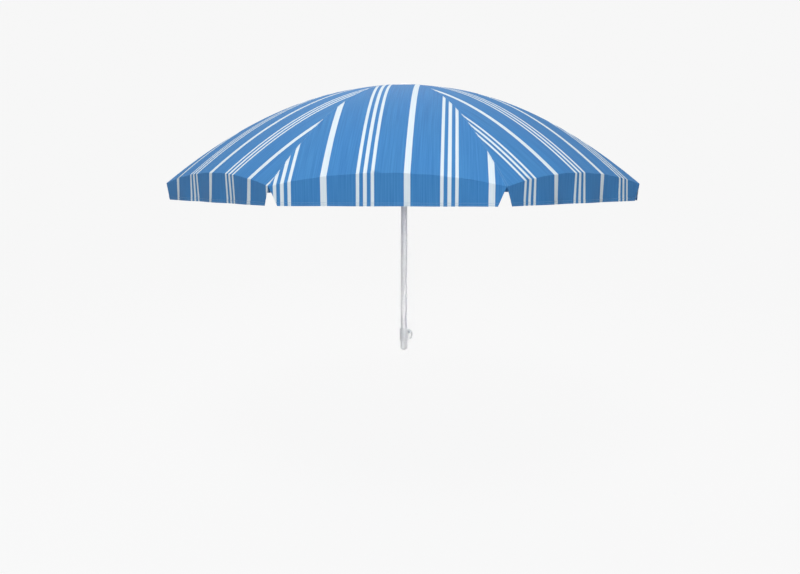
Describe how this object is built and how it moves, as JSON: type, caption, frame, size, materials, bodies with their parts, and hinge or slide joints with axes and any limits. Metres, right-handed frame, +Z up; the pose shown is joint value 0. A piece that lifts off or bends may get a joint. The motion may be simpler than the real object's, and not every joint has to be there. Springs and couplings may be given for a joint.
{
  "type": "beach umbrella",
  "caption": "Folding beach umbrella with a striped domed canopy and notched valance, ribs and stretchers on a tilting mast, and a sliding ground pole held by a cam-lever clamp.",
  "frame": {"origin": "middle of the flat lower end of the pole foot, on the mast's axis", "axes": "+Z up along the untilted mast; +X towards the clamp lever and the side the canopy tilts to; the pictured side faces -Y"},
  "size_m": [1.5506, 1.5506, 0.962],
  "materials": {
    "striped_cloth": "matte",
    "white_paint": "satin",
    "white_plastic": "satin",
    "steel": "satin",
    "dark_steel": "satin"
  },
  "bodies": {
    "lower_mast": {"lower_mast": "white_paint", "clamp_collar": "white_plastic", "clamp_pin": "steel", "tilt_lower_bracket": "steel", "tilt_pivot_pin": "dark_steel", "tilt_lower_rivet": "dark_steel"},
    "upper_mast": {"upper_mast": "white_paint", "tilt_upper_bracket": "steel", "tilt_upper_rivet": "dark_steel", "crown_hub": "white_plastic", "crown_cap": "white_plastic"},
    "runner": {"runner": "white_plastic", "runner_ring": "white_plastic"},
    "runner_catch": {"runner_catch": "steel"},
    "tilt_button": {"tilt_button": "dark_steel"},
    "clamp_lever": {"clamp_lever": "white_plastic"},
    "clamp_pad": {"clamp_pad": "white_plastic"},
    "ground_pole": {"ground_pole": "white_paint", "pole_foot": "white_plastic"},
    "rib_inner_1": {"rib_inner_1": "white_paint", "canopy_inner_1": "striped_cloth"},
    "rib_outer_1": {"rib_outer_1": "white_paint", "canopy_outer_1": "striped_cloth"},
    "stretcher_1": {"stretcher_1": "white_paint"},
    "rib_inner_2": {"rib_inner_2": "white_paint", "canopy_inner_2": "striped_cloth"},
    "rib_outer_2": {"rib_outer_2": "white_paint", "canopy_outer_2": "striped_cloth"},
    "stretcher_2": {"stretcher_2": "white_paint"},
    "rib_inner_3": {"rib_inner_3": "white_paint", "canopy_inner_3": "striped_cloth"},
    "rib_outer_3": {"rib_outer_3": "white_paint", "canopy_outer_3": "striped_cloth"},
    "stretcher_3": {"stretcher_3": "white_paint"},
    "rib_inner_4": {"rib_inner_4": "white_paint", "canopy_inner_4": "striped_cloth"},
    "rib_outer_4": {"rib_outer_4": "white_paint", "canopy_outer_4": "striped_cloth"},
    "stretcher_4": {"stretcher_4": "white_paint"},
    "rib_inner_5": {"rib_inner_5": "white_paint", "canopy_inner_5": "striped_cloth"},
    "rib_outer_5": {"rib_outer_5": "white_paint", "canopy_outer_5": "striped_cloth"},
    "stretcher_5": {"stretcher_5": "white_paint"},
    "rib_inner_6": {"rib_inner_6": "white_paint", "canopy_inner_6": "striped_cloth"},
    "rib_outer_6": {"rib_outer_6": "white_paint", "canopy_outer_6": "striped_cloth"},
    "stretcher_6": {"stretcher_6": "white_paint"},
    "rib_inner_7": {"rib_inner_7": "white_paint", "canopy_inner_7": "striped_cloth"},
    "rib_outer_7": {"rib_outer_7": "white_paint", "canopy_outer_7": "striped_cloth"},
    "stretcher_7": {"stretcher_7": "white_paint"},
    "rib_inner_8": {"rib_inner_8": "white_paint", "canopy_inner_8": "striped_cloth"},
    "rib_outer_8": {"rib_outer_8": "white_paint", "canopy_outer_8": "striped_cloth"},
    "stretcher_8": {"stretcher_8": "white_paint"}
  },
  "joints": [
    {"name": "tilt", "type": "hinge", "parent": "lower_mast", "child": "upper_mast", "pos_m": [0.004, 0, 0.612], "axis": [0, 1, 0], "range_deg": [0, 30]},
    {"name": "runner_slide", "type": "slide", "parent": "upper_mast", "child": "runner", "axis": [0, 0, 1], "range_m": [-0.56957, 0], "deforming": ["canopy_inner_1", "canopy_outer_1", "canopy_inner_2", "canopy_outer_2", "canopy_inner_3", "canopy_outer_3", "canopy_inner_4", "canopy_outer_4", "canopy_inner_5", "canopy_outer_5", "canopy_inner_6", "canopy_outer_6", "canopy_inner_7", "canopy_outer_7", "canopy_inner_8", "canopy_outer_8", "runner_catch"]},
    {"name": "runner_catch_press", "type": "slide", "parent": "upper_mast", "child": "runner_catch", "axis": [0, 1, 0], "range_m": [0, 0.0036], "stiffness_N_per_m": 300},
    {"name": "tilt_button_press", "type": "slide", "parent": "lower_mast", "child": "tilt_button", "axis": [1, 0, 0], "range_m": [0, 0.0016], "stiffness_N_per_m": 300},
    {"name": "clamp_lever_turn", "type": "hinge", "parent": "lower_mast", "child": "clamp_lever", "pos_m": [0.0178, 0, 0.068], "axis": [0, -1, 0], "range_deg": [0, 90]},
    {"name": "clamp_pad_slide", "type": "slide", "parent": "lower_mast", "child": "clamp_pad", "axis": [1, 0, 0], "range_m": [0, 0.0008]},
    {"name": "ground_pole_slide", "type": "slide", "parent": "lower_mast", "child": "ground_pole", "axis": [0, 0, -1], "range_m": [0, 0.44]},
    {"name": "rib_hinge_1", "type": "hinge", "parent": "upper_mast", "child": "rib_inner_1", "pos_m": [0.00488, -0.01418, 0.94789], "axis": [0.9455, 0.3256, 0], "range_deg": [0, 74.05]},
    {"name": "rib_flex_1", "type": "hinge", "parent": "rib_inner_1", "child": "rib_outer_1", "pos_m": [0.13023, -0.37821, 0.86781], "axis": [0.9455, 0.3256, 0], "range_deg": [-19.7, 0]},
    {"name": "stretcher_hinge_1", "type": "hinge", "parent": "rib_inner_1", "child": "stretcher_1", "pos_m": [0.13023, -0.37821, 0.86781], "axis": [0.9455, 0.3256, 0], "range_deg": [-139.61, 0]},
    {"name": "rib_hinge_2", "type": "hinge", "parent": "upper_mast", "child": "rib_inner_2", "pos_m": [0.01348, -0.00658, 0.94789], "axis": [0.4384, 0.8988, 0], "range_deg": [0, 74.05]},
    {"name": "rib_flex_2", "type": "hinge", "parent": "rib_inner_2", "child": "rib_outer_2", "pos_m": [0.35952, -0.17535, 0.86781], "axis": [0.4384, 0.8988, 0], "range_deg": [-19.7, 0]},
    {"name": "stretcher_hinge_2", "type": "hinge", "parent": "rib_inner_2", "child": "stretcher_2", "pos_m": [0.35952, -0.17535, 0.86781], "axis": [0.4384, 0.8988, 0], "range_deg": [-139.61, 0]},
    {"name": "rib_hinge_3", "type": "hinge", "parent": "upper_mast", "child": "rib_inner_3", "pos_m": [0.01418, 0.00488, 0.94789], "axis": [-0.3256, 0.9455, 0], "range_deg": [0, 74.05]},
    {"name": "rib_flex_3", "type": "hinge", "parent": "rib_inner_3", "child": "rib_outer_3", "pos_m": [0.37821, 0.13023, 0.86781], "axis": [-0.3256, 0.9455, 0], "range_deg": [-19.7, 0]},
    {"name": "stretcher_hinge_3", "type": "hinge", "parent": "rib_inner_3", "child": "stretcher_3", "pos_m": [0.37821, 0.13023, 0.86781], "axis": [-0.3256, 0.9455, 0], "range_deg": [-139.61, 0]},
    {"name": "rib_hinge_4", "type": "hinge", "parent": "upper_mast", "child": "rib_inner_4", "pos_m": [0.00658, 0.01348, 0.94789], "axis": [-0.8988, 0.4384, 0], "range_deg": [0, 74.05]},
    {"name": "rib_flex_4", "type": "hinge", "parent": "rib_inner_4", "child": "rib_outer_4", "pos_m": [0.17535, 0.35952, 0.86781], "axis": [-0.8988, 0.4384, 0], "range_deg": [-19.7, 0]},
    {"name": "stretcher_hinge_4", "type": "hinge", "parent": "rib_inner_4", "child": "stretcher_4", "pos_m": [0.17535, 0.35952, 0.86781], "axis": [-0.8988, 0.4384, 0], "range_deg": [-139.61, 0]},
    {"name": "rib_hinge_5", "type": "hinge", "parent": "upper_mast", "child": "rib_inner_5", "pos_m": [-0.00488, 0.01418, 0.94789], "axis": [-0.9455, -0.3256, 0], "range_deg": [0, 74.05]},
    {"name": "rib_flex_5", "type": "hinge", "parent": "rib_inner_5", "child": "rib_outer_5", "pos_m": [-0.13023, 0.37821, 0.86781], "axis": [-0.9455, -0.3256, 0], "range_deg": [-19.7, 0]},
    {"name": "stretcher_hinge_5", "type": "hinge", "parent": "rib_inner_5", "child": "stretcher_5", "pos_m": [-0.13023, 0.37821, 0.86781], "axis": [-0.9455, -0.3256, 0], "range_deg": [-139.61, 0]},
    {"name": "rib_hinge_6", "type": "hinge", "parent": "upper_mast", "child": "rib_inner_6", "pos_m": [-0.01348, 0.00658, 0.94789], "axis": [-0.4384, -0.8988, 0], "range_deg": [0, 74.05]},
    {"name": "rib_flex_6", "type": "hinge", "parent": "rib_inner_6", "child": "rib_outer_6", "pos_m": [-0.35952, 0.17535, 0.86781], "axis": [-0.4384, -0.8988, 0], "range_deg": [-19.7, 0]},
    {"name": "stretcher_hinge_6", "type": "hinge", "parent": "rib_inner_6", "child": "stretcher_6", "pos_m": [-0.35952, 0.17535, 0.86781], "axis": [-0.4384, -0.8988, 0], "range_deg": [-139.61, 0]},
    {"name": "rib_hinge_7", "type": "hinge", "parent": "upper_mast", "child": "rib_inner_7", "pos_m": [-0.01418, -0.00488, 0.94789], "axis": [0.3256, -0.9455, 0], "range_deg": [0, 74.05]},
    {"name": "rib_flex_7", "type": "hinge", "parent": "rib_inner_7", "child": "rib_outer_7", "pos_m": [-0.37821, -0.13023, 0.86781], "axis": [0.3256, -0.9455, 0], "range_deg": [-19.7, 0]},
    {"name": "stretcher_hinge_7", "type": "hinge", "parent": "rib_inner_7", "child": "stretcher_7", "pos_m": [-0.37821, -0.13023, 0.86781], "axis": [0.3256, -0.9455, 0], "range_deg": [-139.61, 0]},
    {"name": "rib_hinge_8", "type": "hinge", "parent": "upper_mast", "child": "rib_inner_8", "pos_m": [-0.00658, -0.01348, 0.94789], "axis": [0.8988, -0.4384, 0], "range_deg": [0, 74.05]},
    {"name": "rib_flex_8", "type": "hinge", "parent": "rib_inner_8", "child": "rib_outer_8", "pos_m": [-0.17535, -0.35952, 0.86781], "axis": [0.8988, -0.4384, 0], "range_deg": [-19.7, 0]},
    {"name": "stretcher_hinge_8", "type": "hinge", "parent": "rib_inner_8", "child": "stretcher_8", "pos_m": [-0.17535, -0.35952, 0.86781], "axis": [0.8988, -0.4384, 0], "range_deg": [-139.61, 0]}
  ],
  "couplings": [
    {"joint": "clamp_pad_slide", "follows": "clamp_lever_turn", "m_per_rad": 0.000509},
    {"joint": "rib_hinge_1", "follows": "runner_slide", "rad_per_m": -2.2688},
    {"joint": "rib_flex_1", "follows": "runner_slide", "rad_per_m": 0.60349},
    {"joint": "stretcher_hinge_1", "follows": "runner_slide", "rad_per_m": 4.2776},
    {"joint": "rib_hinge_2", "follows": "runner_slide", "rad_per_m": -2.2688},
    {"joint": "rib_flex_2", "follows": "runner_slide", "rad_per_m": 0.60349},
    {"joint": "stretcher_hinge_2", "follows": "runner_slide", "rad_per_m": 4.2776},
    {"joint": "rib_hinge_3", "follows": "runner_slide", "rad_per_m": -2.2688},
    {"joint": "rib_flex_3", "follows": "runner_slide", "rad_per_m": 0.60349},
    {"joint": "stretcher_hinge_3", "follows": "runner_slide", "rad_per_m": 4.2776},
    {"joint": "rib_hinge_4", "follows": "runner_slide", "rad_per_m": -2.2688},
    {"joint": "rib_flex_4", "follows": "runner_slide", "rad_per_m": 0.60349},
    {"joint": "stretcher_hinge_4", "follows": "runner_slide", "rad_per_m": 4.2776},
    {"joint": "rib_hinge_5", "follows": "runner_slide", "rad_per_m": -2.2688},
    {"joint": "rib_flex_5", "follows": "runner_slide", "rad_per_m": 0.60349},
    {"joint": "stretcher_hinge_5", "follows": "runner_slide", "rad_per_m": 4.2776},
    {"joint": "rib_hinge_6", "follows": "runner_slide", "rad_per_m": -2.2688},
    {"joint": "rib_flex_6", "follows": "runner_slide", "rad_per_m": 0.60349},
    {"joint": "stretcher_hinge_6", "follows": "runner_slide", "rad_per_m": 4.2776},
    {"joint": "rib_hinge_7", "follows": "runner_slide", "rad_per_m": -2.2688},
    {"joint": "rib_flex_7", "follows": "runner_slide", "rad_per_m": 0.60349},
    {"joint": "stretcher_hinge_7", "follows": "runner_slide", "rad_per_m": 4.2776},
    {"joint": "rib_hinge_8", "follows": "runner_slide", "rad_per_m": -2.2688},
    {"joint": "rib_flex_8", "follows": "runner_slide", "rad_per_m": 0.60349},
    {"joint": "stretcher_hinge_8", "follows": "runner_slide", "rad_per_m": 4.2776}
  ]
}
